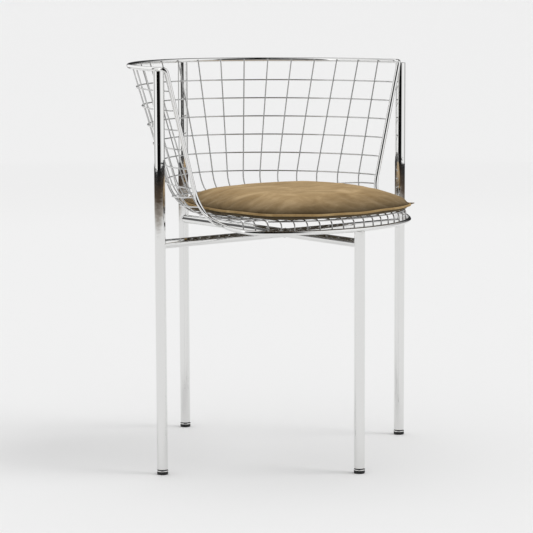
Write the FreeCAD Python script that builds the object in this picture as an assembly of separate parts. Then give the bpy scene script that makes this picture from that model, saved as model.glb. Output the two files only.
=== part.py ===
import FreeCAD, Part
import math
import os

os.makedirs("parts", exist_ok=True)
V = FreeCAD.Vector
UP = V(0, 0, 1)

# Chair with a bent wire basket. All sizes are in millimetres.
# +X is the sitter's left, -Y is the front and +Z is up.
# The sizes below are set from the point where the lines through opposite legs cross.
# The finished parts are moved so that the origin is under the middle of the outline.

# Heights
rim_z = 715.0
seat_z = 455.0
lip_drop = 20.5
stretcher_drop = 45.0

# Legs and stretchers
leg_od = 19.0
leg_wall = 1.5
back_leg_y = 317.0
front_leg_y = -211.0
stretcher_od = 16.0
stretcher_wall = 1.2

# Basket rod, one closed loop
rod_d = 8.0
back_radius = 180.0
back_half_angle = 25.0
side_radius = 350.0
rim_end_back = 31.6
lip_radius = 260.0
lip_half_angle = 38.0
saddle = 1.5
tuck_run = 23.0
tuck_radius = 20.0
elbow_inset = 10.2
elbow_ahead = 7.5
elbow_radius = 8.5
side_bend_inset = 78.1
side_bend_ahead = 11.0
side_bend_rise = 2.0
side_bend_radius = 55.0
front_bend_run = 50.0
front_bend_radius = 90.0

# Wire mesh
wire_d = 2.5
rib_last = 9
rib_rim_margin_right = 0.0
rib_rim_margin_left = 28.0
rib_lip_margin_right = 42.0
rib_lip_margin_left = 58.0
rib_low_rise = 47.0
wall_inset = 66.5
rib_bend_radius = 60.0
rib_draw = 0.64
rib_draw_gain = 0.1775
rib_tip = 1.2
end_lap = 1.0
roll_radius = 12.0
roll_fill = 0.8
wall_hoops = 6
hoop_top_drop = 38.5
hoop_low_rise = 49.5
hoop_end_run = 30.0
hoop_end_gap = 0.6
upper_bend_back_rise = 16.0
upper_bend_side_rise = 34.0
lower_bend_back_rise = 3.0
lower_bend_side_rise = 18.0
arc_tolerance = 0.5
row_first_gap = 25.0
row_pitch = 35.0
row_back_gap = 35.0
row_overhang = 6.0

# Feet
pad_d = 17.0
pad_height = 6.0
pad_chamfer = 1.0
collar_height = 2.0
foot_seam = 0.3
plug_length = 26.0
plug_play = 0.15
plug_sides = 12
cap_height = 4.0

# Loose cushion
cushion_side_gap = 6.4
cushion_back_gap = 76.0
cushion_overhang = 11.0
cushion_height = 45.0
cushion_corner_radius = 90.0
cushion_corner_inset = 108.0
cushion_foot_inset = 26.0
cushion_crown_inset = 84.0
# Shares of the rise to the welt, or from it to the crown, and of the inset reached there
foot_share = (0.36, 0.35)
crown_shares = ((0.32, 0.1), (0.7, 0.42), (1.0, 1.0))
welt_rise = 12.6
welt_d = 4.0
welt_gap = 0.4

# Gaps left for weld fillets and for cloth
weld_gap = 0.15
soft_gap = 0.35

# Sides of the drawn sections, and limits for finding points
rod_sides = 8
mesh_sides = 3
row_sides = 4
welt_sides = 4
least_run = 0.01
least_lean = 0.1
halvings = 32

rod_r = rod_d / 2
wire_r = wire_d / 2
leg_r = leg_od / 2
stretcher_r = stretcher_od / 2
lip_z = seat_z - lip_drop
stretcher_z = seat_z - stretcher_drop
back_turn = math.radians(back_half_angle)
back_centre = V(0, back_leg_y - back_radius, 0)
side_centre = back_centre - V(math.sin(back_turn), math.cos(back_turn), 0) * (side_radius - back_radius)
rim_end_angle = math.degrees(math.acos((rim_end_back - side_centre.y) / side_radius))
side_leg_x = side_centre.x + math.sqrt(side_radius ** 2 - side_centre.y ** 2)
lip_y = front_leg_y + lip_radius
lay = rod_r + wire_r + weld_gap
crossing = wire_d + weld_gap
tall_top = rim_z - rod_r + saddle
short_top = lip_z - rod_r + saddle
tube_foot = pad_height + collar_height + foot_seam
cushion_front = front_leg_y - cushion_overhang
frame_y = -(back_leg_y + leg_r + cushion_front - welt_gap - welt_d) / 2
made = {}


def keep(name, shapes):
    """Write one part, made of one or more separate solids."""
    solids = []
    for shape in shapes:
        solids.extend(shape.Solids)
    made[name] = solids
    shape = solids[0] if len(solids) == 1 else Part.makeCompound(solids)
    shape = shape.translated(V(0, frame_y, 0))
    shape.exportStep("parts/" + name + ".step")


def mirror_x(point):
    return V(-point.x, point.y, point.z)


def arc_edge(first, middle, last):
    return Part.Arc(first, middle, last).toShape()


def bent_path(points, radii):
    """Straight runs between the points, with a round bend at each inner point."""
    edges = []
    start = points[0]
    for before, corner, after, radius in zip(points, points[1:], points[2:], radii):
        back = (before - corner).normalize()
        ahead = (after - corner).normalize()
        half = back.getAngle(ahead) / 2
        run = radius / math.tan(half)
        middle = (back + ahead).normalize()
        centre = corner + middle * (radius / math.sin(half))
        first = corner + back * run
        last = corner + ahead * run
        if (first - start).Length > least_run:
            edges.append(Part.makeLine(start, first))
        edges.append(arc_edge(first, centre - middle * radius, last))
        start = last
    edges.append(Part.makeLine(start, points[-1]))
    return edges


def curl(start, heading, target):
    """An arc that leaves a point along a heading and ends at a target."""
    step = target - start
    side = step - heading * step.dot(heading)
    radius = step.dot(step) / (2 * side.Length)
    centre = start + side.normalize() * radius
    chord = (start + target) / 2 - centre
    return arc_edge(start, centre + chord.normalize() * radius, target)


def bar(edges, radius, sides):
    """A bar along joined edges. Its flat-sided section lies within the round one."""
    first = edges[0]
    start = first.valueAt(first.FirstParameter)
    heading = first.tangentAt(first.FirstParameter)
    up = UP - heading * heading.z
    up = up.normalize() if up.Length > least_lean else V(0, 1, 0)
    across = heading.cross(up)
    corners = []
    for number in range(sides):
        turn = 2 * math.pi * (number + 0.5) / sides
        corners.append(start + (up * math.cos(turn) + across * math.sin(turn)) * radius)
    ring = Part.makePolygon(corners + [corners[0]])
    return Part.Wire(edges).makePipeShell([ring], True, False)


def along(edges, distance):
    """The point and heading at a distance along a path."""
    for edge in edges:
        if distance <= edge.Length or edge is edges[-1]:
            at = edge.getParameterByLength(max(0.0, min(distance, edge.Length)))
            return edge.valueAt(at), edge.tangentAt(at)
        distance -= edge.Length


def find_on(edges, test):
    """The point on a path where a test that starts true turns false."""
    low = 0.0
    high = sum(edge.Length for edge in edges)
    for _ in range(halvings):
        middle = (low + high) / 2
        if test(along(edges, middle)[0]):
            low = middle
        else:
            high = middle
    return along(edges, low)


def lip_point(angle, z):
    turn = math.radians(angle)
    return V(lip_radius * math.sin(turn), lip_y - lip_radius * math.cos(turn), z)


def rim_point(angle, inset, z):
    """A point on the rim's plan, or inside it by an inset, at an angle from the back."""
    turn = math.radians(abs(angle))
    on_back = abs(angle) <= back_half_angle
    centre = back_centre if on_back else side_centre
    radius = (back_radius if on_back else side_radius) - inset
    x = centre.x + radius * math.sin(turn)
    return V(math.copysign(x, angle), centre.y + radius * math.cos(turn), z)


def rim_angle(distance, inset):
    """The angle of a point that lies a distance along the rim from the back."""
    back_run = (back_radius - inset) * back_turn
    if abs(distance) <= back_run:
        return math.degrees(distance / (back_radius - inset))
    turn = back_turn + (abs(distance) - back_run) / (side_radius - inset)
    return math.copysign(math.degrees(turn), distance)


def rim_edges(last_angle, inset, z):
    """The rim's plan from the back to one side, as a back arc and a side arc."""
    side = math.copysign(1, last_angle)
    joint = side * back_half_angle
    angles = [(0, joint / 2, joint), (joint, (joint + last_angle) / 2, last_angle)]
    return [arc_edge(*[rim_point(angle, inset, z) for angle in arc]) for arc in angles]


def side_edges(side):
    """The rod from the end of the rim arc, down the side, to the lip arc."""
    turn = math.radians(lip_half_angle)
    lip_end = lip_point(lip_half_angle, lip_z)
    out = V(math.cos(turn), math.sin(turn), 0)
    turn = math.radians(rim_end_angle)
    rim_end = rim_point(rim_end_angle, 0, rim_z)
    ahead = V(math.cos(turn), -math.sin(turn), 0)
    points = [
        rim_end,
        rim_end + ahead * tuck_run,
        V(side_leg_x - elbow_inset, -elbow_ahead, rim_z),
        V(side_leg_x - side_bend_inset, -side_bend_ahead, seat_z + side_bend_rise),
        lip_end + out * front_bend_run,
        lip_end,
    ]
    if side < 0:
        points = [mirror_x(point) for point in points]
    return bent_path(points, [tuck_radius, elbow_radius, side_bend_radius, front_bend_radius])


def reverse_edges(edges):
    turned = []
    for edge in reversed(edges):
        low = edge.valueAt(edge.FirstParameter)
        high = edge.valueAt(edge.LastParameter)
        if edge.Curve.TypeId == "Part::GeomLine":
            turned.append(Part.makeLine(high, low))
        else:
            middle = edge.valueAt((edge.FirstParameter + edge.LastParameter) / 2)
            turned.append(arc_edge(high, middle, low))
    return turned


def lip_half(side):
    """Half of the lip arc, from the middle of the front out to the side."""
    out = side * lip_half_angle
    return arc_edge(lip_point(0, lip_z), lip_point(out / 2, lip_z), lip_point(out, lip_z))


def front_path(side):
    """The rod from the middle of the lip out and up to the rim."""
    return [lip_half(side)] + reverse_edges(side_edges(side))


def rod_half(side, radius):
    rim = rim_edges(side * rim_end_angle, 0, rim_z)
    return bar(rim + side_edges(side) + reverse_edges([lip_half(side)]), radius, rod_sides)


rod_loop = rod_half(1, rod_r).fuse(rod_half(-1, rod_r)).removeSplitter()
keep("rim_rod", [rod_loop])
rod_room = [rod_half(1, rod_r + weld_gap), rod_half(-1, rod_r + weld_gap)]


def tube(radius, wall, start, end):
    axis = end - start
    outer = Part.makeCylinder(radius, axis.Length, start, axis)
    inner = Part.makeCylinder(radius - wall, axis.Length, start, axis)
    return outer.cut(inner)


def disc(diameter, spot, bottom, top):
    return Part.makeCylinder(diameter / 2, top - bottom, spot + UP * bottom)


def prism(diameter, spot, bottom, top):
    """An upright bar whose flat sides lie within a circle."""
    corners = []
    for number in range(plug_sides + 1):
        turn = 2 * math.pi * number / plug_sides
        corners.append(spot + V(math.cos(turn), math.sin(turn), 0) * (diameter / 2) + UP * bottom)
    return Part.Face(Part.makePolygon(corners)).extrude(UP * (top - bottom))


def foot_glide(spot):
    """A round pad with a chamfered foot, moulded in one piece with the plug in the tube."""
    pad = disc(pad_d, spot, 0, pad_height)
    foot_edge = [edge for edge in pad.Edges if edge.BoundBox.ZMax < pad_height / 2]
    pad = pad.makeChamfer(pad_chamfer, foot_edge)
    return pad.fuse(prism(plug_d, spot, pad_height, pad_height + plug_length)).removeSplitter()


def foot_collar(spot):
    """A ring around the plug, between the pad and the tube."""
    top = pad_height + collar_height
    return disc(leg_od, spot, pad_height, top).cut(prism(tube_bore, spot, pad_height, top))


def leg_cap(spot, top):
    """A plug that closes the tube just below the rod's saddle."""
    cap_top = top - saddle - weld_gap
    return prism(plug_d, spot, cap_top - cap_height, cap_top)


tube_bore = leg_od - 2 * leg_wall
plug_d = tube_bore - 2 * plug_play
leg_spots = {
    "left": (V(side_leg_x, 0, 0), tall_top),
    "right": (V(-side_leg_x, 0, 0), tall_top),
    "back": (V(0, back_leg_y, 0), tall_top),
    "front": (V(0, front_leg_y, 0), short_top),
}
for name, (spot, top) in leg_spots.items():
    leg = tube(leg_r, leg_wall, spot + UP * tube_foot, spot + UP * top)
    keep(name + "_leg", [leg.cut(rod_room)])
keep("foot_glides", [foot_glide(spot) for spot, top in leg_spots.values()])
keep("foot_collars", [foot_collar(spot) for spot, top in leg_spots.values()])
keep("leg_caps", [leg_cap(spot, top) for spot, top in leg_spots.values()])


def post_room(name):
    return disc(leg_od + 2 * weld_gap, leg_spots[name][0], 0, rim_z)


def longest(shape):
    return max(shape.Solids, key=lambda solid: solid.Volume)


cross_ends = [V(-side_leg_x, 0, stretcher_z), V(side_leg_x, 0, stretcher_z)]
cross_bar = tube(stretcher_r, stretcher_wall, *cross_ends)
keep("side_stretcher", [longest(cross_bar.cut([post_room("left"), post_room("right")]))])
cross_room = Part.makeCylinder(stretcher_r + weld_gap, 2 * side_leg_x, cross_ends[0], V(1, 0, 0))
for name, far_y in (("back", back_leg_y), ("front", front_leg_y)):
    arm = tube(stretcher_r, stretcher_wall, V(0, 0, stretcher_z), V(0, far_y, stretcher_z))
    keep(name + "_stretcher", [longest(arm.cut([cross_room, post_room(name)]))])

rib_low_z = seat_z + rib_low_rise
wall_slope = (wall_inset - lay) / (rim_z - rib_low_z)
rim_run = back_radius * back_turn + side_radius * (math.radians(rim_end_angle) - back_turn)
lip_arc, front_bend, side_run = front_path(1)[:3]
lip_run = lip_arc.Length + front_bend.Length + side_run.Length
rim_pitch = (2 * rim_run - rib_rim_margin_right - rib_rim_margin_left) / (2 * rib_last)
lip_pitch = (2 * lip_run - rib_lip_margin_right - rib_lip_margin_left) / (2 * rib_last)


def rib_edges(number):
    """One wire, from the rim down the wall, along the seat and over the lip."""
    on_rim = rib_rim_margin_right - rim_run + rim_pitch * (number + rib_last)
    on_wall = on_rim * (rib_draw + rib_draw_gain * (on_rim / rim_run) ** 2)
    high = rim_point(rim_angle(on_rim, lay), lay, rim_z)
    low = rim_point(rim_angle(on_wall, wall_inset), wall_inset, rib_low_z)
    run = (low - high) / (rim_z - rib_low_z)
    tip = high - run * rib_tip
    heel = high + run * (rim_z - seat_z)
    on_lip = rib_lip_margin_right - lip_run + lip_pitch * (number + rib_last)
    on_rod, heading = along(front_path(1 if on_lip > 0 else -1), abs(on_lip))
    across = V(heading.y, -heading.x, 0).normalize()
    if across.dot(on_rod) > 0:
        across = across * -1
    toe = on_rod + across * lay
    end = V(toe.x, toe.y, on_rod.z - end_lap)
    toe.z = seat_z
    radius = min(roll_radius, roll_fill * (toe.z - end.z))
    return bent_path([tip, heel, toe, end], [rib_bend_radius, radius])


rib_numbers = list(range(-rib_last, rib_last + 1))
ribs = {number: rib_edges(number) for number in rib_numbers}


def rib_bars(numbers):
    return [bar(ribs[number], wire_r, mesh_sides) for number in numbers]


keep("right_ribs", rib_bars(range(-rib_last, 0)))
keep("middle_rib", rib_bars([0]))
keep("left_ribs", rib_bars(range(1, rib_last + 1)))


def wall_hoop(z):
    """A level hoop outside the ribs, whose ends curl in to the side rods."""
    lean = math.atan(wall_slope)
    inset = lay + wall_slope * (rim_z - z) - crossing / math.cos(lean)
    on_rod = find_on(side_edges(1), lambda point: point.z > z)[0]
    last_y = on_rod.y + hoop_end_run
    last = math.degrees(math.acos((last_y - side_centre.y) / (side_radius - inset)))
    half = rim_edges(last, inset, z)
    start = half[-1].valueAt(half[-1].LastParameter)
    heading = half[-1].tangentAt(half[-1].LastParameter)
    inward = (start - on_rod).normalize()
    tip = on_rod + inward * (rod_r + hoop_end_gap)
    half.append(curl(start, heading, tip))
    other = [edge.mirror(V(0, 0, 0), V(1, 0, 0)) for edge in half]
    return bar(reverse_edges(other) + half, wire_r, mesh_sides)


def bend_hoop(back_rise, side_rise):
    """A hoop outside the ribs, where they bend into the seat. It rises to the rod."""
    points = []
    for number in rib_numbers:
        rise = back_rise + (side_rise - back_rise) * (number / rib_last) ** 2
        spot, heading = find_on(ribs[number], lambda point: point.z > seat_z + rise)
        plan = V(heading.x, heading.y, 0)
        drop = UP * plan.Length
        out = plan.normalize() * heading.z
        points.append(spot + (out - drop) * crossing)
    for side in (1, -1):
        on_rod = find_on(side_edges(side), lambda point: point.z > seat_z + side_rise)[0]
        back = (points[-1] - on_rod).normalize()
        points.append(on_rod + back * (rod_r + hoop_end_gap))
        points.reverse()
    curve = Part.BSplineCurve()
    curve.interpolate(points)
    arcs = [arc.toShape() for arc in curve.toBiArcs(arc_tolerance)]
    return bar(arcs, wire_r, mesh_sides)


hoop_top_z = rim_z - hoop_top_drop
hoop_pitch = (hoop_top_z - seat_z - hoop_low_rise) / (wall_hoops - 1)
for number in range(wall_hoops):
    keep("wall_hoop_" + str(number + 1), [wall_hoop(hoop_top_z - hoop_pitch * number)])
keep("bend_hoop_1", [bend_hoop(upper_bend_back_rise, upper_bend_side_rise)])
keep("bend_hoop_2", [bend_hoop(lower_bend_back_rise, lower_bend_side_rise)])


def seat_row(y):
    """A straight wire under the level runs of the ribs."""
    reach = []
    for edges in ribs.values():
        level = edges[2]
        rear = level.valueAt(level.FirstParameter)
        front = level.valueAt(level.LastParameter)
        if front.y < y < rear.y:
            reach.append(rear.x + (front.x - rear.x) * (rear.y - y) / (rear.y - front.y))
    ends = [V(min(reach) - row_overhang, y, row_z), V(max(reach) + row_overhang, y, row_z)]
    return bar([Part.makeLine(*ends)], wire_r, row_sides)


def roll_point(angle):
    turn = math.radians(angle)
    return V(roll_wire_radius * math.sin(turn), lip_y - roll_wire_radius * math.cos(turn), roll_wire_z)


row_z = seat_z - crossing
row_first_y = front_leg_y + row_first_gap
floor_rear = ribs[0][2].valueAt(ribs[0][2].FirstParameter).y
row_count = int((floor_rear - row_back_gap - row_first_y) / row_pitch) + 1
keep("seat_rows", [seat_row(row_first_y + row_pitch * number) for number in range(row_count)])

on_roll = math.sqrt(0.5) * (roll_radius + crossing)
roll_wire_radius = lip_radius - lay - roll_radius + on_roll
roll_wire_z = seat_z - roll_radius + on_roll
roll_arc = arc_edge(roll_point(-lip_half_angle), roll_point(0), roll_point(lip_half_angle))
keep("roll_wire", [bar([roll_arc], wire_r, row_sides)])

cushion_foot = seat_z + wire_r + soft_gap
welt_z = cushion_foot + welt_rise
widest = find_on(ribs[rib_last], lambda point: point.z > welt_z)[0]
rearmost = find_on(ribs[0], lambda point: point.z > welt_z)[0]
half_width = widest.x - cushion_side_gap
half_depth = (rearmost.y - cushion_back_gap - cushion_front) / 2
cushion_middle = V(0, cushion_front + half_depth, 0)
corner = V(half_width - cushion_corner_inset, half_depth - cushion_corner_inset, 0)


def bow_radius(half, along_side, off_side):
    """The radius of a bowed side that runs smoothly into the corner arcs."""
    gap = along_side - half
    radius = cushion_corner_radius
    return (radius ** 2 - gap ** 2 - off_side ** 2) / (2 * (gap + radius))


side_r = bow_radius(half_width, corner.x, corner.y)
end_r = bow_radius(half_depth, corner.y, corner.x)
side_turn = math.asin(corner.y / (side_r - cushion_corner_radius))
end_turn = math.asin(corner.x / (end_r - cushion_corner_radius))
quarter = math.pi / 2
# Each arc of the outline has a centre, a radius and the angles where it starts and ends
outline_arcs = [(V(half_width - side_r, 0, 0), side_r, -side_turn, side_turn)]
outline_arcs.append((corner, cushion_corner_radius, side_turn, quarter - end_turn))
outline_arcs.append((V(0, half_depth - end_r, 0), end_r, quarter - end_turn, quarter + end_turn))
outline_arcs.append((mirror_x(corner), cushion_corner_radius, quarter + end_turn, 2 * quarter - side_turn))
for centre, radius, first, last in outline_arcs[:4]:
    outline_arcs.append((-centre, radius, first + 2 * quarter, last + 2 * quarter))


def on_arc(centre, radius, turn, z):
    return cushion_middle + centre + V(radius * math.cos(turn), radius * math.sin(turn), z)


def outline(grow, z):
    """The cushion's outline at one height, grown or drawn in evenly."""
    edges = []
    for centre, radius, first, last in outline_arcs:
        spots = [on_arc(centre, radius + grow, turn, z) for turn in (first, (first + last) / 2, last)]
        edges.append(arc_edge(*spots))
    return edges


def cushion_band(low, high):
    """A sloping band between two sections, turned about the centre of each arc."""
    faces = []
    for centre, radius, first, last in outline_arcs:
        slope = Part.makeLine(
            on_arc(centre, radius - low[1], first, cushion_foot + low[0]),
            on_arc(centre, radius - high[1], first, cushion_foot + high[0]),
        )
        faces.append(slope.revolve(cushion_middle + centre, UP, math.degrees(last - first)))
    return faces


# Each section is a height above the cushion's foot and how far it is drawn in there
cushion_sections = [(0.0, cushion_foot_inset), (foot_share[0] * welt_rise, foot_share[1] * cushion_foot_inset)]
cushion_sections.append((welt_rise, 0.0))
for rise_share, inset_share in crown_shares:
    rise = welt_rise + rise_share * (cushion_height - welt_rise)
    cushion_sections.append((rise, inset_share * cushion_crown_inset))
faces = []
for low, high in zip(cushion_sections, cushion_sections[1:]):
    faces.extend(cushion_band(low, high))
for height, drawn_in in (cushion_sections[0], cushion_sections[-1]):
    faces.append(Part.Face(Part.Wire(outline(-drawn_in, cushion_foot + height))))
skin = Part.makeShell(faces)
skin.sewShape()
cushion = Part.makeSolid(skin)
if cushion.Volume < 0:
    cushion.reverse()
keep("cushion", [cushion])
keep("cushion_welt", [bar(outline(welt_gap + welt_d / 2, welt_z), welt_d / 2, welt_sides)])

print({name: (len(solids), all(solid.isValid() for solid in solids)) for name, solids in made.items()})
print({name: round(sum(solid.Volume for solid in solids)) for name, solids in made.items()})
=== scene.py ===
# %% [markdown]
# # A bent wire chair with a loose suede cushion
# The chair is a basket of thin chromed wires welded to one thicker rod, on four tube legs.
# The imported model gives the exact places. This file draws the round wires, the stitched
# cushion and the finishes around it.

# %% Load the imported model
import math

import bpy
from mathutils import Matrix, Vector


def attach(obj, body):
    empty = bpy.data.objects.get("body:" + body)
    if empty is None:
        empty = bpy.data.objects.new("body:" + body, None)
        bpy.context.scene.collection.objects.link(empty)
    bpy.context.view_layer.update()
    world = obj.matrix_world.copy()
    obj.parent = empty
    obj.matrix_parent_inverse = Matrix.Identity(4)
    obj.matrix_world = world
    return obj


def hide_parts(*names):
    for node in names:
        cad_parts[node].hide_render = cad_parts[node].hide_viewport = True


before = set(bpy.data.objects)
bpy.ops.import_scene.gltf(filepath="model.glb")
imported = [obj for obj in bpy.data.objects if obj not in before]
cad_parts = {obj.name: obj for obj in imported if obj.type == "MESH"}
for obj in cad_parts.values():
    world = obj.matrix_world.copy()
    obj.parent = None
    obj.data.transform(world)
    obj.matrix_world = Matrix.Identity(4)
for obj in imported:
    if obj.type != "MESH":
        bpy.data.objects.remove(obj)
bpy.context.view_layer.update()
bpy.ops.object.select_all(action="DESELECT")
print("nodes:", len(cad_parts))

# %% [markdown]
# ## Camera
# The photograph was taken from the front left, a little above the seat, with a long lens that
# keeps the far leg almost as thick as the near one. The place and the lens below were worked out
# from where the four feet and the rim fall in the picture.

# %% Camera
camera_at, lens_mm = (-2.466, -3.176, 0.866), 148.3
look_down, roll, look_right = 7.41, 0.22, 37.8085
bpy.ops.object.camera_add(location=camera_at)
camera = bpy.context.object
camera.rotation_euler = [math.radians(turn) for turn in (90 - look_down, roll, -look_right)]
camera.data.sensor_width = 36
camera.data.lens = lens_mm
camera.data.clip_end = 400
bpy.context.scene.camera = camera
bpy.context.scene.view_settings.view_transform = "Standard"
print("camera", round(Vector(camera_at).length, 2), "m from the floor's middle, lens", lens_mm, "mm")

# %% [markdown]
# ## Helpers for materials
# Every colour is written as it is seen on a screen, and one function turns it into the linear
# light values that the shaders use. One more function adds a node with its settings and links.

# %% Colour and node helpers
def linear(code):
    """An sRGB hex colour as linear red, green, blue and alpha."""
    parts = [int(code[i:i + 2], 16) / 255 for i in (0, 2, 4)]
    return tuple(c / 12.92 if c <= 0.04045 else ((c + 0.055) / 1.055) ** 2.4 for c in parts) + (1.0,)


def node(tree, kind, settings=None, values=None, links=None):
    """Adds a node. settings are its options, values its sockets, links the sockets that feed it."""
    made = tree.nodes.new(kind)
    for name, value in (settings or {}).items():
        setattr(made, name, value)
    for name, value in (values or {}).items():
        made.inputs[name].default_value = value
    for name, socket in (links or {}).items():
        tree.links.new(socket, made.inputs[name])
    return made


def new_material(name):
    """An empty material with its output node."""
    material = bpy.data.materials.new(name)
    material.use_nodes = True
    material.node_tree.nodes.clear()
    return material, material.node_tree, material.node_tree.nodes.new("ShaderNodeOutputMaterial")


def ramp(tree, socket, stops):
    """A colour ramp fed by a socket, with (place, colour) stops."""
    made = node(tree, "ShaderNodeValToRGB", links={"Fac": socket})
    elements = made.color_ramp.elements
    while len(elements) < len(stops):
        elements.new(0.5)
    for element, (place, colour) in zip(elements, stops):
        element.position, element.color = place, colour
    return made


def grey(value):
    """A grey of a linear brightness, for light."""
    return (value, value, value, 1.0)

# %% [markdown]
# ## Helpers for pieces
# A finished piece gets its material, the body that it moves with and the part of the model that it
# stands for. Small pieces of one kind are joined into one mesh.

# %% Piece helpers
def select_only(pieces):
    """Selects these pieces and makes the first one active."""
    bpy.ops.object.select_all(action="DESELECT")
    for piece in pieces:
        piece.select_set(True)
    bpy.context.view_layer.objects.active = pieces[0]


def join(pieces, name):
    """Joins pieces into one mesh."""
    select_only(pieces)
    bpy.ops.object.join()
    pieces[0].name = name
    return pieces[0]


def hand_over(piece, material, stands_for=None, body="chair_frame"):
    """Gives a piece its material, its body and the model part that it replaces."""
    piece.data.materials.append(material)
    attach(piece, body)
    if stands_for:
        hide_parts(stands_for)
    print(piece.name, len(piece.data.polygons), "faces")


def clamp(value):
    """A value kept from 0 to 1."""
    return min(1.0, max(0.0, value))

# %% [markdown]
# ## Floor, studio and lamps
# The picture is a cut-out on a pale grey ground with a very soft shadow. Chrome has no colour of
# its own, so what stands around it is half of its look. The tall legs mirror a strip that lies
# nearly level with the eye: a black card behind the camera gives their thin black stripe, and it
# fades below the seat, because there the strip lands on the lit paper in front of the chair.

# %% Floor
paper_tone = linear("F0F0F0")
bpy.ops.mesh.primitive_plane_add(size=300)
floor = bpy.context.object
floor.name = "floor"
floor.visible_glossy = False
paper, tree, out = new_material("pale paper floor")
matt = {"Roughness": 0.9, "Specular IOR Level": 0.1}
shade = node(tree, "ShaderNodeBsdfPrincipled", values={"Base Color": paper_tone, **matt})
tree.links.new(shade.outputs["BSDF"], out.inputs["Surface"])
floor.data.materials.append(paper)
print("floor colour", [round(part, 3) for part in paper_tone[:3]])

# %% The paper that the chrome mirrors
paper_reach, above_floor = 6.6, 0.0002
bpy.ops.mesh.primitive_circle_add(vertices=96, radius=paper_reach, fill_type="NGON", location=(0, 0, above_floor))
sweep = bpy.context.object
sweep.name = "paper_in_the_chrome"
sweep.visible_camera = False
sweep.visible_diffuse = False
sweep.visible_shadow = False
edge, tree, out = new_material("paper with a dark floor beyond")
spot = node(tree, "ShaderNodeTexCoord").outputs["Object"]
reach = node(tree, "ShaderNodeVectorMath", {"operation": "LENGTH"}, links={0: spot})
full_scale = 7.0
share = node(tree, "ShaderNodeMapRange", values={"From Min": 0.0, "From Max": full_scale},
             links={"Value": reach.outputs["Value"]})
fade = {3.9: "F0F0F0", 4.5: "A09A92", 5.2: "4A3B2C", 6.2: "0A0A0A"}
tone = ramp(tree, share.outputs["Result"], [(metres / full_scale, linear(code)) for metres, code in fade.items()])
shade = node(tree, "ShaderNodeBsdfPrincipled", values=matt, links={"Base Color": tone.outputs["Color"]})
tree.links.new(shade.outputs["BSDF"], out.inputs["Surface"])
sweep.data.materials.append(edge)
print("the mirrored paper fades from", min(fade), "to", max(fade), "m")

# %% The room
world = bpy.data.worlds.new("white studio with a black card")
bpy.context.scene.world = world
world.use_nodes = True
tree = world.node_tree
tree.nodes.clear()
way = node(tree, "ShaderNodeTexCoord")
axes = node(tree, "ShaderNodeSeparateXYZ", links={"Vector": way.outputs["Generated"]})
turn = node(tree, "ShaderNodeMath", {"operation": "ARCTAN2"}, links={0: axes.outputs["Y"], 1: axes.outputs["X"]})
share = node(tree, "ShaderNodeMapRange", values={"From Min": -math.pi, "From Max": math.pi},
             links={"Value": turn.outputs[0]})


def place(degrees):
    """A compass direction from the chair as a place on the ramp. The camera stands at 232."""
    return ((degrees + 180) % 360) / 360


black_card = [(180, 1.1), (188, 1.6), (190, 0.004), (258, 0.006), (266, 0.8)]
right_wall = [(300, 1.1), (335, 0.9), (359.9, 0.5)]
dark_doorway = [(25, 0.03), (60, 0.03), (66, 1.0), (110, 1.1)]
grey_screen = [(118, 0.12), (132, 0.12), (140, 1.0), (179.9, 1.0)]
stops = black_card + right_wall + dark_doorway + grey_screen
walls = ramp(tree, share.outputs["Result"], [(place(degrees), grey(level)) for degrees, level in stops])
path = node(tree, "ShaderNodeLightPath")
# The colour sockets of a mix share their names with others, so they go by number. Only what is
# mirrored sees the walls. All else is lit by one even grey.
even_light, first_colour, second_colour, mixed = grey(0.78), 6, 7, 2
room = node(tree, "ShaderNodeMix", {"data_type": "RGBA"}, values={first_colour: even_light},
            links={0: path.outputs["Is Glossy Ray"], second_colour: walls.outputs["Color"]})
light = node(tree, "ShaderNodeBackground", values={"Strength": 1.0}, links={"Color": room.outputs[mixed]})
node(tree, "ShaderNodeOutputWorld", links={"Surface": light.outputs["Background"]})
print("room:", len(stops), "stops, black card from", black_card[2][0], "to", black_card[3][0], "degrees")

# %% Lamps
def soft_sun(name, azimuth, elevation, spread, power):
    """A wide, even lamp. Its reflection is left to the room's white walls."""
    a, e = math.radians(azimuth), math.radians(elevation)
    way = Vector((math.cos(a) * math.cos(e), math.sin(a) * math.cos(e), math.sin(e)))
    bpy.ops.object.light_add(type="SUN", location=way * 3)
    lamp = bpy.context.object
    lamp.name = name
    lamp.data.angle = math.radians(spread)
    lamp.data.energy = power
    lamp.visible_glossy = False
    lamp.rotation_euler = way.to_track_quat("Z", "Y").to_euler()
    print(name, "at", elevation, "degrees above the floor")


soft_sun("overhead soft box", azimuth=60, elevation=78, spread=50, power=0.22)
soft_sun("side soft box", azimuth=314, elevation=46, spread=24, power=0.72)

# %% [markdown]
# ## Chromium plate
# Tubes, rod and wires are steel, polished, nickel plated and flashed with chromium. The plate is a
# near perfect mirror. What tells it from glass is a slight waviness left by the polishing belt and
# a bloom of very fine scratches, so both are in the bump and the roughness.

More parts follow.
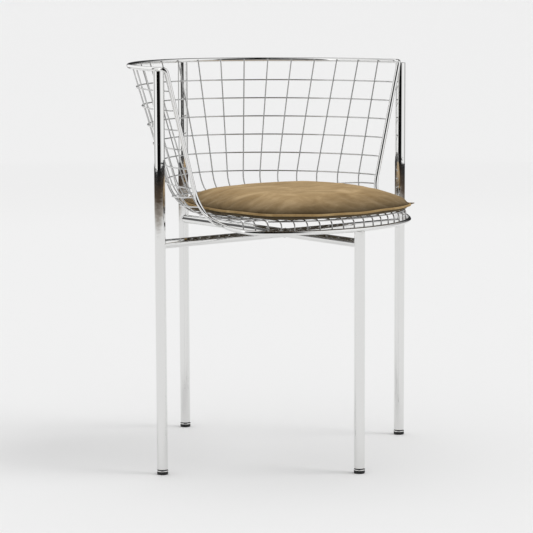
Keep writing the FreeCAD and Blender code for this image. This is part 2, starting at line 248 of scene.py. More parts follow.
# %% Chrome
def chrome(name, tone, rough, wave_mm, wave_height, haze_mm=60):
    """A mirror with a fine bloom. The slow waves bend straight reflections a little."""
    material, tree, out = new_material(name)
    spot = node(tree, "ShaderNodeTexCoord").outputs["Object"]
    wave = node(tree, "ShaderNodeTexNoise", values={"Scale": 1000 / wave_mm, "Detail": 2.0}, links={"Vector": spot})
    haze = node(tree, "ShaderNodeTexNoise", values={"Scale": 1000 / haze_mm, "Detail": 4.0}, links={"Vector": spot})
    blur = node(tree, "ShaderNodeMapRange", values={"To Min": rough * 0.6, "To Max": rough * 1.5},
                links={"Value": haze.outputs["Fac"]})
    bump = node(tree, "ShaderNodeBump", values={"Strength": 0.15, "Distance": wave_height},
                links={"Height": wave.outputs["Fac"]})
    shade = node(tree, "ShaderNodeBsdfPrincipled", values={"Base Color": linear(tone), "Metallic": 1.0},
                 links={"Roughness": blur.outputs["Result"], "Normal": bump.outputs["Normal"]})
    tree.links.new(shade.outputs["BSDF"], out.inputs["Surface"])
    return material


# A tube is belt polished before plating. Drawn wire isn't, so its plate is greyer and hazier.
tube_chrome = chrome("chromium plate on polished tube", "E8E8E7", rough=0.025, wave_mm=14, wave_height=0.0002)
wire_chrome = chrome("chromium plate on drawn wire", "C6C6C5", rough=0.05, wave_mm=6, wave_height=0.0001)
print("materials:", tube_chrome.name, "and", wire_chrome.name)

# %% [markdown]
# ## The basket rod
# One 8 mm steel rod is bent into a closed loop: the rim, a tight elbow at each side leg, the run
# down beside the seat and the bow of the seat's lip. A path of straight runs with rounded corners
# is what a bending machine is told, so the rod is drawn the same way.

# %% Sizes of the basket
# Paths are drawn from the line of the side legs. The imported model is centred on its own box.
shift = Vector((0, -0.05005, 0))
rim_z, seat_z, lip_z = 0.715, 0.455, 0.4345
rod_r, wire_r, weld_gap = 0.004, 0.00125, 0.00015
back_radius, side_radius, back_turn = 0.180, 0.350, math.radians(25)
lip_radius, lip_turn = 0.260, math.radians(38)
back_centre = Vector((0, 0.137, 0))
side_centre = back_centre - Vector((math.sin(back_turn), math.cos(back_turn), 0)) * (side_radius - back_radius)
rim_end_back, front_leg_y = 0.0316, -0.211
rim_end_turn = math.acos((rim_end_back - side_centre.y) / side_radius)
side_leg_x = side_centre.x + math.sqrt(side_radius ** 2 - side_centre.y ** 2)
lip_y = front_leg_y + lip_radius
lay = rod_r + wire_r + weld_gap
crossing = 2 * wire_r + weld_gap
print("side legs at x =", round(side_leg_x, 4))


def arc(centre, start, axis, angle, degrees=7):
    """Points on an arc that turns a start point about an axis through the centre."""
    steps = max(2, math.ceil(abs(angle) / math.radians(degrees)))
    return [centre + Matrix.Rotation(angle * i / steps, 3, axis) @ (start - centre) for i in range(steps + 1)]


def bend_reach(before, corner, after, radius):
    """Half the angle inside a corner, and how far from the corner its round bend begins."""
    half = (before - corner).angle(after - corner) / 2
    return half, radius / math.tan(half)


def bend(points, radii, degrees=7):
    """A path through the points with each inner corner rounded to its radius."""
    path = [points[0]]
    for before, corner, after, radius in zip(points, points[1:], points[2:], radii):
        half, reach = bend_reach(before, corner, after, radius)
        back = (before - corner).normalized()
        ahead = (after - corner).normalized()
        centre = corner + (back + ahead).normalized() * (radius / math.sin(half))
        axis = (-back).cross(ahead).normalized()
        path += arc(centre, corner + back * reach, axis, math.pi - 2 * half, degrees)
    path.append(points[-1])
    return path


def rim_point(turn, inset, z):
    """A point on the rim's plan, drawn in by an inset, at an angle from the back."""
    on_back = abs(turn) <= back_turn
    centre = back_centre if on_back else side_centre
    radius = (back_radius if on_back else side_radius) - inset
    x = centre.x + radius * math.sin(abs(turn))
    return Vector((math.copysign(x, turn), centre.y + radius * math.cos(turn), z))


def rim_arc(last, inset, z, count=24):
    """Points along the rim from the back to one side."""
    return [rim_point(last * i / count, inset, z) for i in range(count + 1)]


def lip_point(turn, z, radius=lip_radius):
    """A point on the bow of the seat's lip, at an angle from its middle."""
    return Vector((radius * math.sin(turn), lip_y - radius * math.cos(turn), z))


lip_end = lip_point(lip_turn, lip_z)
rim_end = rim_point(rim_end_turn, 0, rim_z)
elbow_run, lip_straight = 0.023, 0.050
# The rod goes on past the rim's end, turns down beside the leg, runs down to the seat's side and
# meets the lip's bow.
side_corners = [
    rim_end,
    rim_end + Vector((math.cos(rim_end_turn), -math.sin(rim_end_turn), 0)) * elbow_run,
    Vector((side_leg_x - 0.0102, -0.0075, rim_z)),
    Vector((side_leg_x - 0.0781, -0.011, seat_z + 0.002)),
    lip_end + Vector((math.cos(lip_turn), math.sin(lip_turn), 0)) * lip_straight,
    lip_end,
]
side_radii = [0.020, 0.0085, 0.055, 0.090]
left_side = bend(side_corners, side_radii)
print("side rod:", len(left_side), "points")


def flip(point):
    """The same point on the other side of the chair."""
    return Vector((-point.x, point.y, point.z))

# %% A function that draws round wire
def round_wire(name, paths, radius, rings=3, closed=False):
    """Draws each path as a round bar with closed ends and makes it one mesh."""
    curve = bpy.data.curves.new(name, "CURVE")
    curve.dimensions = "3D"
    curve.bevel_depth = radius
    curve.bevel_resolution = rings
    curve.use_fill_caps = not closed
    for path in paths:
        spline = curve.splines.new("POLY")
        spline.points.add(len(path) - 1)
        for point, spot in zip(spline.points, path):
            point.co = (*(spot + shift), 1)
        spline.use_cyclic_u = closed
    piece = bpy.data.objects.new(name, curve)
    bpy.context.collection.objects.link(piece)
    select_only([piece])
    bpy.ops.object.convert(target="MESH")
    bpy.ops.object.shade_smooth_by_angle(angle=math.radians(50))
    return bpy.context.object

# %% The rod
half_lip = [lip_point(lip_turn * i / 12, lip_z) for i in range(12)]
half_rod = rim_arc(rim_end_turn, 0, rim_z) + left_side[1:] + half_lip[:0:-1]
rod_path = half_rod + [half_lip[0]] + [flip(point) for point in reversed(half_rod[1:])]
rod = round_wire("basket_rod", [rod_path], rod_r, rings=6, closed=True)
hand_over(rod, tube_chrome, "rim_rod")

# %% [markdown]
# ## The ribs
# Nineteen drawn wires hang from the rim, bend into the seat and roll over the lip. They are spread
# a little unevenly on the real chair, closer together toward the sides, so each one has its own
# place on the rim, at the foot of the wall and on the lip.

# %% Where each rib runs
def along(path, distance):
    """The point and heading at a distance along a path."""
    for a, b in zip(path, path[1:]):
        run = (b - a).length
        if distance <= run:
            return a.lerp(b, distance / run), (b - a).normalized()
        distance -= run
    return path[-1], (path[-1] - path[-2]).normalized()


rib_last, rib_low_z, wall_inset = 9, seat_z + 0.047, 0.0665
foot_share, foot_spread = 0.64, 0.1775
rib_over, rib_under, wall_bend_r, lip_bend_r = 0.0012, 0.001, 0.060, 0.012
rim_run = back_radius * back_turn + side_radius * (rim_end_turn - back_turn)
front = [lip_point(lip_turn * i / 24, lip_z) for i in range(24)] + left_side[::-1]
half, reach = bend_reach(*side_corners[3:], side_radii[-1])
lip_run = lip_radius * lip_turn + lip_straight - reach + side_radii[-1] * (math.pi - 2 * half)
rim_skew, lip_margin_right, lip_margin_left = 0.028, 0.042, 0.058
rim_pitch = (2 * rim_run - rim_skew) / (2 * rib_last)
lip_pitch = (2 * lip_run - lip_margin_right - lip_margin_left) / (2 * rib_last)
print("rim run", round(rim_run, 4), "lip run", round(lip_run, 4))


def rim_turn(distance, inset):
    """The angle of a point a distance along the rim from the back."""
    back_run = (back_radius - inset) * back_turn
    if abs(distance) <= back_run:
        return distance / (back_radius - inset)
    return math.copysign(back_turn + (abs(distance) - back_run) / (side_radius - inset), distance)


def rib_path(number):
    """One rib from the rim down the wall, along the seat and over the lip."""
    on_rim = -rim_run + rim_pitch * (number + rib_last)
    on_wall = on_rim * (foot_share + foot_spread * (on_rim / rim_run) ** 2)
    high = rim_point(rim_turn(on_rim, lay), lay, rim_z)
    low = rim_point(rim_turn(on_wall, wall_inset), wall_inset, rib_low_z)
    run = (low - high) / (rim_z - rib_low_z)
    tip = high - run * rib_over
    heel = high + run * (rim_z - seat_z)
    on_lip = lip_margin_right - lip_run + lip_pitch * (number + rib_last)
    spot, heading = along(front, abs(on_lip))
    if on_lip < 0:
        spot, heading = flip(spot), flip(heading)
    across = Vector((heading.y, -heading.x, 0)).normalized()
    if across.dot(spot) > 0:
        across = -across
    toe = spot + across * lay
    end = Vector((toe.x, toe.y, spot.z - rib_under))
    toe = Vector((toe.x, toe.y, seat_z))
    radius = min(lip_bend_r, 0.8 * (toe.z - end.z))
    return bend([tip, heel, toe, end], [wall_bend_r, radius], 9)


ribs = {number: rib_path(number) for number in range(-rib_last, rib_last + 1)}

# %% The ribs as round wire
rib_sets = {"right_ribs": range(-rib_last, 0), "middle_rib": [0], "left_ribs": range(1, rib_last + 1)}
for name, numbers in rib_sets.items():
    piece = round_wire("wire_" + name, [ribs[number] for number in numbers], wire_r)
    hand_over(piece, wire_chrome, name)

# %% [markdown]
# ## Hoops, seat wires and the roll wire
# The cross wires lie outside the ribs and under them, so that the sitter only touches wires that
# run one way. Each hoop ends on the side of the rod.

# %% Hoops on the wall
hoop_end_back, rod_touch = 0.030, 0.0003


def find_on(path, test):
    """The point and heading on a path where a test that starts true turns false."""
    for a, b in zip(path, path[1:]):
        if test(a) and not test(b):
            low, high = 0.0, 1.0
            for _ in range(30):
                middle = (low + high) / 2
                low, high = (middle, high) if test(a.lerp(b, middle)) else (low, middle)
            return a.lerp(b, low), (b - a).normalized()
    return path[-1], (path[-1] - path[-2]).normalized()


def curl(start, heading, target, count=6):
    """An arc that leaves a point along a heading and ends at a target."""
    step = target - start
    side = step - heading * step.dot(heading)
    radius = step.dot(step) / (2 * side.length)
    centre = start + side.normalized() * radius
    axis = heading.cross(side).normalized()
    angle = (start - centre).angle(target - centre)
    return [centre + Matrix.Rotation(angle * i / count, 3, axis) @ (start - centre) for i in range(1, count + 1)]


def wall_hoop(z):
    """A level hoop outside the ribs, whose ends curl in to the side rods."""
    slope = (wall_inset - lay) / (rim_z - rib_low_z)
    inset = lay + slope * (rim_z - z) - crossing / math.cos(math.atan(slope))
    on_rod = find_on(left_side, lambda point: point.z > z)[0]
    last = math.acos((on_rod.y + hoop_end_back - side_centre.y) / (side_radius - inset))
    path = rim_arc(last, inset, z, 30)
    inward = (path[-1] - on_rod).normalized()
    heading = Vector((math.cos(last), -math.sin(last), 0))
    path += curl(path[-1], heading, on_rod + inward * (rod_r + rod_touch))
    return [flip(point) for point in reversed(path[1:])] + path


def smooth_through(points, steps=4):
    """A finer path through the points with no kinks."""
    path = []
    ends = [points[0] * 2 - points[1]] + points + [points[-1] * 2 - points[-2]]
    for a, b, c, d in zip(ends, ends[1:], ends[2:], ends[3:]):
        for i in range(steps):
            t = i / steps
            bow, twist = 2 * a - 5 * b + 4 * c - d, 3 * b - a - 3 * c + d
            path.append(0.5 * (2 * b + (c - a) * t + bow * t * t + twist * t ** 3))
    return path + [points[-1]]


def bend_hoop(back_rise, side_rise):
    """A hoop outside the ribs where they bend into the seat. It rises to the rod."""
    points = []
    for number, rib in ribs.items():
        rise = back_rise + (side_rise - back_rise) * (number / rib_last) ** 2
        spot, heading = find_on(rib, lambda point: point.z > seat_z + rise)
        plan = Vector((heading.x, heading.y, 0))
        points.append(spot + (plan.normalized() * heading.z - Vector((0, 0, plan.length))) * crossing)
    for side in (1, -1):
        on_rod = find_on(left_side, lambda point: point.z > seat_z + side_rise)[0]
        on_rod = on_rod if side > 0 else flip(on_rod)
        back = (points[-1] - on_rod).normalized()
        points.append(on_rod + back * (rod_r + rod_touch))
        points.reverse()
    return smooth_through(points)


hoop_top_z, hoop_low_z, hoop_count = rim_z - 0.0385, seat_z + 0.0495, 6
hoop_pitch = (hoop_top_z - hoop_low_z) / (hoop_count - 1)
hoops = {"wall_hoop_" + str(i + 1): wall_hoop(hoop_top_z - hoop_pitch * i) for i in range(hoop_count)}
hoops["bend_hoop_1"] = bend_hoop(back_rise=0.016, side_rise=0.034)
hoops["bend_hoop_2"] = bend_hoop(back_rise=0.003, side_rise=0.018)
for name, path in hoops.items():
    piece = round_wire("wire_" + name, [path], wire_r)
    hand_over(piece, wire_chrome, name)

# %% Straight wires under the seat
def crossing_x(rib, y):
    """Where the level run of a rib passes a cross line, or None past its ends."""
    level = [point for point in rib if abs(point.z - seat_z) < 1e-6]
    rear, tip = level[0], level[-1]
    if tip.y < y < rear.y:
        return rear.x + (tip.x - rear.x) * (rear.y - y) / (rear.y - tip.y)
    return None


def seat_row(y):
    """A straight wire under the ribs that ends a little past the outer ones."""
    passed = [x for x in (crossing_x(rib, y) for rib in ribs.values()) if x is not None]
    z = seat_z - crossing
    return [Vector((min(passed) - row_over, y, z)), Vector((max(passed) + row_over, y, z))]


row_first_y, row_pitch, row_count, row_over = -0.186, 0.035, 10, 0.006
rows = [seat_row(row_first_y + row_pitch * i) for i in range(row_count)]
roll = 0.012
on_roll = math.sqrt(0.5) * (roll + crossing)
roll_wire_radius = lip_radius - lay - roll + on_roll
roll_path = [lip_point(lip_turn * i / 12, seat_z - roll + on_roll, roll_wire_radius) for i in range(-12, 13)]
for name, paths in (("seat_rows", rows), ("roll_wire", [roll_path])):
    piece = round_wire("wire_" + name, paths, wire_r)
    hand_over(piece, wire_chrome, name)

# %% [markdown]
# ## Weld spots
# Every crossing is resistance welded: two electrodes press the wires together and the steel melts
# into a small collar between them. One spot is modelled and copied to each crossing.

# %% Where the wires cross
def nearest(path, spot):
    """The point of a path that lies nearest to a spot."""
    best = None
    for a, b in zip(path, path[1:]):
        run = b - a
        found = a + run * clamp((spot - a).dot(run) / run.length_squared)
        if best is None or (found - spot).length < (best - spot).length:
            best = found
    return best


touching = 0.0035
crossings = []
for path in hoops.values():
    for rib in ribs.values():
        meet = min(path, key=lambda point: (nearest(rib, point) - point).length)
        on_hoop = nearest(path, nearest(rib, meet))
        on_rib = nearest(rib, on_hoop)
        if (on_rib - on_hoop).length < touching:
            crossings.append((on_rib + on_hoop) / 2)
for row in rows:
    for rib in ribs.values():
        x = crossing_x(rib, row[0].y)
        if x is not None:
            crossings.append(Vector((x, row[0].y, seat_z - crossing / 2)))
rod_loop = rod_path + rod_path[:1]
for rib in ribs.values():
    for end in (rib[0], rib[-1]):
        on_rod = nearest(rod_loop, end)
        crossings.append((on_rod + nearest(rib, on_rod)) / 2)
print("weld spots:", len(crossings))

# %% One spot, copied to each crossing
weld_r = 0.00145
bpy.ops.object.select_all(action="DESELECT")
bpy.ops.mesh.primitive_ico_sphere_add(subdivisions=1, radius=weld_r)
spots = [bpy.context.object]
for _ in crossings[1:]:
    copy = spots[0].copy()
    copy.data = spots[0].data.copy()
    bpy.context.collection.objects.link(copy)
    spots.append(copy)
for weld, at in zip(spots, crossings):
    weld.location = at + shift
welds = join(spots, "weld_spots")
bpy.ops.object.transform_apply(location=True, rotation=True, scale=True)
bpy.ops.object.shade_smooth()
hand_over(welds, wire_chrome)

# %% [markdown]
# ## Legs
# Each leg is 19 mm welded tube, cut square, with its top closed and its seam ground away before
# polishing. A mirror finish shows every flat, so the tube gets far more sides than the model's
# solid has, and its rims get the small round that the polishing wheel leaves.

# %% Tubes of the legs
def set_along(piece, middle, axis):
    """Turns a piece made along Z to lie along an axis, about a middle point."""
    piece.matrix_world = Matrix.Translation(middle) @ axis.to_track_quat("Z", "Y").to_matrix().to_4x4()
    bpy.ops.object.transform_apply(location=True, rotation=True, scale=True)


def round_tube(name, radius, start, end, sides=72):
    """A tube between two points, closed at its ends."""
    axis = end - start
    bpy.ops.object.select_all(action="DESELECT")
    bpy.ops.mesh.primitive_cylinder_add(vertices=sides, radius=radius, depth=axis.length, end_fill_type="NGON")
    piece = bpy.context.object
    piece.name = name
    set_along(piece, (start + end) / 2 + shift, axis)
    return piece


def round_rims(piece, width, segments=3):
    """Rounds the sharp rims of a piece."""
    bpy.context.view_layer.objects.active = piece
    rim = piece.modifiers.new("rim", "BEVEL")
    rim.width, rim.segments = width, segments
    rim.limit_method, rim.angle_limit = "ANGLE", math.radians(40)
    bpy.ops.object.modifier_apply(modifier="rim")


def finish_tube(piece, node_name, rim):
    """Rounds and smooths a tube. The small angle keeps the rim from bending its long reflections."""
    round_rims(piece, rim)
    bpy.ops.object.shade_smooth_by_angle(angle=math.radians(12))
    hand_over(piece, tube_chrome, node_name)


leg_r, leg_foot_z, leg_top_z, front_top_z = 0.0095, 0.0092, 0.7125, 0.432
back_leg_y = 0.317
legs = {
    "left_leg": (side_leg_x, 0, leg_top_z),
    "right_leg": (-side_leg_x, 0, leg_top_z),
    "back_leg": (0, back_leg_y, leg_top_z),
    "front_leg": (0, front_leg_y, front_top_z),
}
for name, (x, y, top) in legs.items():
    leg = round_tube("tube_" + name, leg_r, Vector((x, y, leg_foot_z)), Vector((x, y, top)))
    finish_tube(leg, name, rim=0.0007)

# %% [markdown]
# ## Cross bars
# The bars are 16 mm tube whose ends are notched to the round of the leg and welded all round. The
# last ring of points is set just under the leg's surface, and a thin collar that follows the leg
# makes the ground weld.

# %% Notched bars
bar_r, bar_z, sink = 0.008, 0.410, 0.0002
cross_at = Vector((0, 0, bar_z))
bars = {
    "side_stretcher": (Vector((-side_leg_x, 0, bar_z)), Vector((side_leg_x, 0, bar_z))),
    "back_stretcher": (cross_at, Vector((0, back_leg_y, bar_z))),
    "front_stretcher": (cross_at, Vector((0, front_leg_y, bar_z))),
}


def notch(ring, post_at, way):
    """Sets the end ring of a bar on the leg at post_at. The way points from the bar to the leg."""
    across = Vector((-way.y, way.x, 0))
    for vertex in ring:
        step = vertex.co - post_at
        depth = math.sqrt(max(0.0, (leg_r - sink) ** 2 - step.dot(across) ** 2))
        vertex.co -= way * (step.dot(way) + depth)


for name, (start, end) in bars.items():
    bar = round_tube("tube_" + name, bar_r, start, end)
    way = (end - start).normalized()
    middle = (start + end) / 2 + shift
    far = [v for v in bar.data.vertices if (v.co - middle).dot(way) > 0]
    near = [v for v in bar.data.vertices if (v.co - middle).dot(way) <= 0]
    notch(far, end + shift, way)
    if start != cross_at:
        notch(near, start + shift, -way)
    finish_tube(bar, name, rim=0.0001)

# %% Ground welds at the ends of the bars
bead_r = 0.0011


def collar(at, way, post_r, across):
    """A soft collar where a bar meets a round post. Its points follow the post."""
    bpy.ops.object.select_all(action="DESELECT")
    bpy.ops.mesh.primitive_torus_add(major_segments=48, minor_segments=10, major_radius=bar_r, minor_radius=bead_r)
    ring = bpy.context.object
    set_along(ring, at, way)
    for vertex in ring.data.vertices:
        off = min(abs((vertex.co - at).dot(across)), post_r)
        vertex.co -= way * math.sqrt(max(0.0, post_r ** 2 - off ** 2))
    bpy.ops.object.shade_smooth()
    return ring


collars = []
for start, end in bars.values():
    way = (end - start).normalized()
    across = Vector((-way.y, way.x, 0))
    collars.append(collar(end + shift, way, leg_r, across))
    if start == cross_at:
        collars.append(collar(start + shift, -way, bar_r, Vector((0, 0, 1))))
    else:
        collars.append(collar(start + shift, -way, leg_r, across))
hand_over(join(collars, "bar_welds"), tube_chrome)

# %% [markdown]
# ## Caps and rings
# A small cap closes the top of each tube. It lies just under the tube's drawn end and stays out of
# sight. At the foot a turned ring stands between the tube and its pad. It is a hair wider than the
# tube, so it catches its own bright line.

# %% Smooth copies of model parts
def smooth_copy(name):
    """A copy of a model part with its points merged and shaded smooth."""
    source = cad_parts[name]
    piece = source.copy()
    piece.data = source.data.copy()
    piece.name = "bright_" + name
    for key in list(piece.keys()):
        if key.startswith("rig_"):
            del piece[key]
    bpy.context.collection.objects.link(piece)
    piece.parent = None
    piece.matrix_world = Matrix.Identity(4)
    select_only([piece])
    bpy.ops.object.mode_set(mode="EDIT")
    bpy.ops.mesh.select_all(action="SELECT")
    bpy.ops.mesh.remove_doubles(threshold=0.00001)
    bpy.ops.object.mode_set(mode="OBJECT")
    bpy.ops.object.shade_smooth_by_angle(angle=math.radians(35))
    piece.data.materials.clear()
    return piece


hand_over(smooth_copy("leg_caps"), tube_chrome, "leg_caps")

# %% Turned rings
def at_each_foot(name, radius, low, high, sides=64, rim=None, segments=3):
    """The same short turned piece under each leg, as one mesh."""
    made = []
    for x, y, top in legs.values():
        piece = round_tube(name, radius, Vector((x, y, low)), Vector((x, y, high)), sides)
        if rim:
            round_rims(piece, rim, segments)
        made.append(piece)
    piece = join(made, name)
    bpy.ops.object.shade_smooth_by_angle(angle=math.radians(35))
    return piece


foot_rings = at_each_foot("foot_rings", radius=0.0103, low=0.0056, high=0.0075, rim=0.0007)
hand_over(foot_rings, tube_chrome, "foot_collars")

# %% [markdown]
# ## Foot pads
# The pads are injection moulded black plastic. A fine spark-eroded grain on the mould makes them
# matt, so they show only a dull grey edge to the light. The neck that goes up into the tube
# shows above the ring as a thin dark line, whose black is painted shade under the tube's end.

# %% Black moulded pads and their necks
pad_plastic, tree, out = new_material("black moulded polyamide")
spot = node(tree, "ShaderNodeTexCoord").outputs["Object"]
grain = node(tree, "ShaderNodeTexNoise", values={"Scale": 1000 / 0.6, "Detail": 3.0}, links={"Vector": spot})
bump = node(tree, "ShaderNodeBump", values={"Strength": 0.3, "Distance": 0.0001},
            links={"Height": grain.outputs["Fac"]})
shade = node(tree, "ShaderNodeBsdfPrincipled", values={"Base Color": linear("0C0C0D"), "Roughness": 0.55},
             links={"Normal": bump.outputs["Normal"]})
tree.links.new(shade.outputs["BSDF"], out.inputs["Surface"])
foot_pads = at_each_foot("foot_pads", radius=0.0098, low=0, high=0.0057, rim=0.0012, segments=4)
hand_over(foot_pads, pad_plastic, "foot_glides")
# The black neck in the gap above the ring is painted shade under the tube's end.
painted_shade_necks = at_each_foot("painted_shade_necks", radius=0.0090, low=0.0070, high=0.0098, sides=48)
hand_over(painted_shade_necks, pad_plastic)

# %% [markdown]
# ## The cushion
# Two suede panels are sewn together round a welt and filled with foam, so the edge is sharp, the
# top is crowned and the leather pulls in ripples toward the seam. Brushed suede is goat or cow
# split with a raised nap: it has no shine, a soft pale bloom at grazing angles, and patches that
# look lighter or darker where a hand has stroked the nap the other way. Light and shade are painted
# into the suede: the crown is painted pale and the sides dark, the panel below the welt is the same
# skin painted darker for its shade, and the welt is painted paler for its highlight.

# %% Suede
def suede(name, dark, middle, pale, nap_mm=38, height_shading=None):
    """Brushed suede with stroked patches, fine fibres and a shallow pebble.
    With a height range, light and shade are painted in by height: the crown pale, the sides dark."""
    material, tree, out = new_material(name)
    spot = node(tree, "ShaderNodeTexCoord").outputs["Object"]
    flat = node(tree, "ShaderNodeMapping", values={"Scale": (0.55, 1.0, 1.0), "Rotation": (0, 0, 0.6)},
                links={"Vector": spot})
    nap = node(tree, "ShaderNodeTexNoise", links={"Vector": flat.outputs["Vector"]},
               values={"Scale": 1000 / nap_mm, "Detail": 6.0, "Roughness": 0.62, "Distortion": 0.6})
    fibre = node(tree, "ShaderNodeTexNoise", values={"Scale": 1000 / 1.5, "Detail": 2.0}, links={"Vector": spot})
    pebble = node(tree, "ShaderNodeTexNoise", values={"Scale": 1000 / 7, "Detail": 3.0}, links={"Vector": spot})
    tone = ramp(tree, nap.outputs["Fac"], [(0.30, linear(dark)), (0.5, linear(middle)), (0.70, linear(pale))])
    speck = node(tree, "ShaderNodeMapRange", values={"To Min": 0.86, "To Max": 1.12},
                 links={"Value": fibre.outputs["Fac"]})
    cloth = node(tree, "ShaderNodeVectorMath", {"operation": "SCALE"},
                 links={0: tone.outputs["Color"], "Scale": speck.outputs["Result"]})
    if height_shading:
        # Painted light and shade: the colour is scaled by height, pale on the crown and dark on the sides.
        height = node(tree, "ShaderNodeSeparateXYZ", links={"Vector": spot})
        painted_shading = node(tree, "ShaderNodeMapRange", values=height_shading, links={"Value": height.outputs["Z"]})
        cloth = node(tree, "ShaderNodeVectorMath", {"operation": "SCALE"},
                     links={0: cloth.outputs["Vector"], "Scale": painted_shading.outputs["Result"]})
    low = node(tree, "ShaderNodeBump", values={"Strength": 0.4, "Distance": 0.0008},
               links={"Height": pebble.outputs["Fac"]})
    high = node(tree, "ShaderNodeBump", values={"Strength": 0.5, "Distance": 0.0004},
                links={"Height": fibre.outputs["Fac"], "Normal": low.outputs["Normal"]})
    bloom = {"Sheen Weight": 0.25, "Sheen Roughness": 0.45, "Sheen Tint": linear("CDB893")}
    shade = node(tree, "ShaderNodeBsdfPrincipled", values={"Roughness": 0.95, "Specular IOR Level": 0.15, **bloom},
                 links={"Base Color": cloth.outputs["Vector"], "Normal": high.outputs["Normal"]})
    tree.links.new(shade.outputs["BSDF"], out.inputs["Surface"])
    return material


# Painted light and shade by height: dark at the seam, pale on the crown.
painted_light_and_shade = {"From Min": 0.4690, "From Max": 0.4930, "To Min": 0.36, "To Max": 1.95}
top_suede = suede("brushed tan suede with painted light and shade", "6B573A", "7E694A", "927D5E", height_shading=painted_light_and_shade)
# The lower panel is the same suede made darker: painted shade for the side turned from the light.
shaded_under_suede = suede("suede of the lower panel in painted shade", "2E2618", "3A3020", "453A28")
# The welt's suede is painted paler than the panels: a painted highlight along the cord.
highlit_welt_suede = suede("suede strip round the welt cord with painted highlight", "8A7049", "9C8259", "AF966C", nap_mm=20)
print("suedes:", top_suede.name + ",", shaded_under_suede.name, "and", highlit_welt_suede.name)

# %% [markdown]
# ## Filling the cushion
# The solid from the model is made a fine even skin, its edge is held at the seam, and the skin is
# blown up like a real cover is by its foam. A little spare leather near the seam turns into soft
# ripples, which is how hand-sewn covers look.

# %% Cushion skin
welt_z, foot_z = 0.4692, 0.4566
half_width, half_depth, middle_y = 0.1893, 0.18805, -0.08395
corner_x, corner_y, corner_r = 0.0813, 0.08005, 0.090
side_r, end_r = 0.277, 0.2826


def outline_inset(x, y):
    """How far a point of the plan lies inside the cushion's seam, about."""
    x, y = abs(x), abs(y - middle_y)
    side_x, end_y = half_width - side_r, half_depth - end_r
    if math.atan2(y, x - side_x) < math.asin(corner_y / (side_r - corner_r)):
        return side_r - math.hypot(x - side_x, y)
    if math.atan2(x, y - end_y) < math.asin(corner_x / (end_r - corner_r)):
        return end_r - math.hypot(x, y - end_y)
    return corner_r - math.hypot(x - corner_x, y - corner_y)


def sag(y):
    """How much lower the seam hangs toward the front, where the sitter's legs press it."""
    share_front = clamp((middle_y - y) / 0.15)
    return 0.0035 * share_front ** 2 * (3 - 2 * share_front)


pad = smooth_copy("cushion")
pad.name = "suede_cushion"
hand_over(pad, top_suede, "cushion", "loose_cushion")
pad.data.remesh_voxel_size = 0.005
bpy.ops.object.voxel_remesh()
start = [vertex.co.copy() for vertex in pad.data.vertices]
print("cushion skin", len(start), "points")

# %% Blow it up
seam = pad.vertex_groups.new(name="seam")
held = [v.index for v in pad.data.vertices if abs(v.co.z - welt_z) < 0.0035]
seam.add(held, 1.0, "REPLACE")
cloth = pad.modifiers.new("fill", "CLOTH")
cloth.settings.quality = 6
cloth.settings.mass = 0.3
cloth.settings.tension_stiffness = 18
cloth.settings.compression_stiffness = 18
cloth.settings.bending_stiffness = 0.6
cloth.settings.shrink_min = -0.035
cloth.settings.use_pressure = True
cloth.settings.uniform_pressure_force = 4
cloth.settings.effector_weights.gravity = 0
cloth.settings.vertex_group_mass = "seam"
cloth.collision_settings.use_collision = False
for step in range(1, 21):
    bpy.context.scene.frame_set(step)
bpy.ops.object.modifier_apply(modifier="fill")
bpy.context.scene.frame_set(1)
moves = [(v.co - a).length for v, a in zip(pad.data.vertices, start)]
print("largest move", round(max(moves) * 1000, 1), "mm, mean", round(sum(moves) / len(moves) * 1000, 1), "mm")

# %% Settle it in its place
most_up, most_down = 0.010, 0.004
for vertex, before in zip(pad.data.vertices, start):
    step = vertex.co - before
    limit = most_up if vertex.co.z > welt_z else most_down
    if step.length > limit:
        vertex.co = before + step.normalized() * limit
    vertex.co.z = max(vertex.co.z, foot_z)
print("skin held within", most_up * 1000, "mm above the seam and", most_down * 1000, "mm below")

# %% Shape the crown and the panel below the seam
crown_z, crown_power, panel_power = 0.4968, 0.87, 0.55
peak = max(v.co.z for v in pad.data.vertices)
for vertex in pad.data.vertices:
    x, y, z = vertex.co
    if z > welt_z:
        share_up = (z - welt_z) / (peak - welt_z)
        z = welt_z + (crown_z - welt_z) * share_up ** crown_power
    elif z < welt_z:
        share_down = clamp((welt_z - z) / (welt_z - foot_z)) ** panel_power
        toward_front = clamp((middle_y - y) / 0.10)
        full = clamp(outline_inset(x, y) / 0.016) ** 0.5
        z = welt_z - (welt_z - foot_z) * max(share_down, full * toward_front)
    vertex.co.z = z - sag(y) * clamp((z - foot_z) / (welt_z - foot_z))

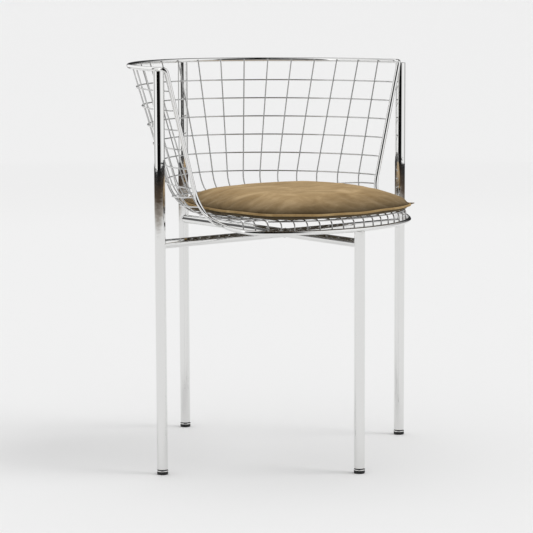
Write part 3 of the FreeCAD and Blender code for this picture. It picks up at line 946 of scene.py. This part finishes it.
# %% Ease and refine the skin
ease = pad.modifiers.new("ease", "SMOOTH")
ease.factor, ease.iterations = 0.5, 2
bpy.ops.object.modifier_apply(modifier="ease")
fine = pad.modifiers.new("fine", "SUBSURF")
fine.levels = fine.render_levels = 1
bpy.ops.object.modifier_apply(modifier="fine")
for vertex in pad.data.vertices:
    vertex.co.z = max(vertex.co.z, foot_z)
bpy.ops.object.shade_smooth()
pad.data.materials.append(shaded_under_suede)
# Faces below the seam take the darker suede, which is painted shade.
for face in pad.data.polygons:
    face.material_index = 1 if face.center.z < welt_z - sag(face.center.y) - 0.001 else 0
heights = [v.co.z for v in pad.data.vertices]
print("cushion", len(pad.data.polygons), "faces, from", round(min(heights), 4), "to", round(max(heights), 4))

# %% [markdown]
# ## The welt
# A cord in a bias strip is caught in the seam. It never lies quite level, and where its two ends
# meet, at the sitter's left front corner, they are turned out into a small ear.

# %% Welt along the seam
def seam_point(turn, grow):
    """A point just outside the seam in a direction from the cushion's middle."""
    way = Vector((math.cos(turn), math.sin(turn), 0))
    low, high = 0.05, 0.3
    for _ in range(30):
        reach = (low + high) / 2
        inside = outline_inset(way.x * reach, middle_y + way.y * reach) > -grow
        low, high = (reach, high) if inside else (low, reach)
    wobble = 0.0006 * math.sin(5 * turn + 1) + 0.0004 * math.sin(13 * turn)
    y = middle_y + way.y * low
    return Vector((way.x * low, y, welt_z + wobble - sag(y)))


seam_path = [seam_point(2 * math.pi * i / 160, 0.0012) - shift for i in range(160)]
welt = round_wire("suede_welt", [seam_path], 0.0021, rings=4, closed=True)
hand_over(welt, highlit_welt_suede, "cushion_welt", "loose_cushion")

# %% The ear where the welt's ends meet
ear_turn = math.radians(-38)
ear_at = seam_point(ear_turn, 0.0)
bpy.ops.object.select_all(action="DESELECT")
bpy.ops.mesh.primitive_cone_add(vertices=20, radius1=0.006, radius2=0.0012, depth=0.016)
ear = bpy.context.object
ear.name = "welt_ear"
turned_out = Matrix.Rotation(ear_turn, 4, "Z") @ Matrix.Rotation(math.radians(82), 4, "Y")
flattened = Matrix.Diagonal((0.55, 1, 1, 1)) @ Matrix.Translation((0, 0, 0.003))
ear.matrix_world = Matrix.Translation(ear_at) @ turned_out @ flattened
bpy.ops.object.transform_apply(location=True, rotation=True, scale=True)
bpy.ops.object.mode_set(mode="EDIT")
bpy.ops.mesh.select_all(action="SELECT")
bpy.ops.mesh.bevel(offset=0.0006, segments=2)
bpy.ops.mesh.normals_make_consistent(inside=False)
bpy.ops.object.mode_set(mode="OBJECT")
bpy.ops.object.shade_smooth()
hand_over(ear, highlit_welt_suede, body="loose_cushion")
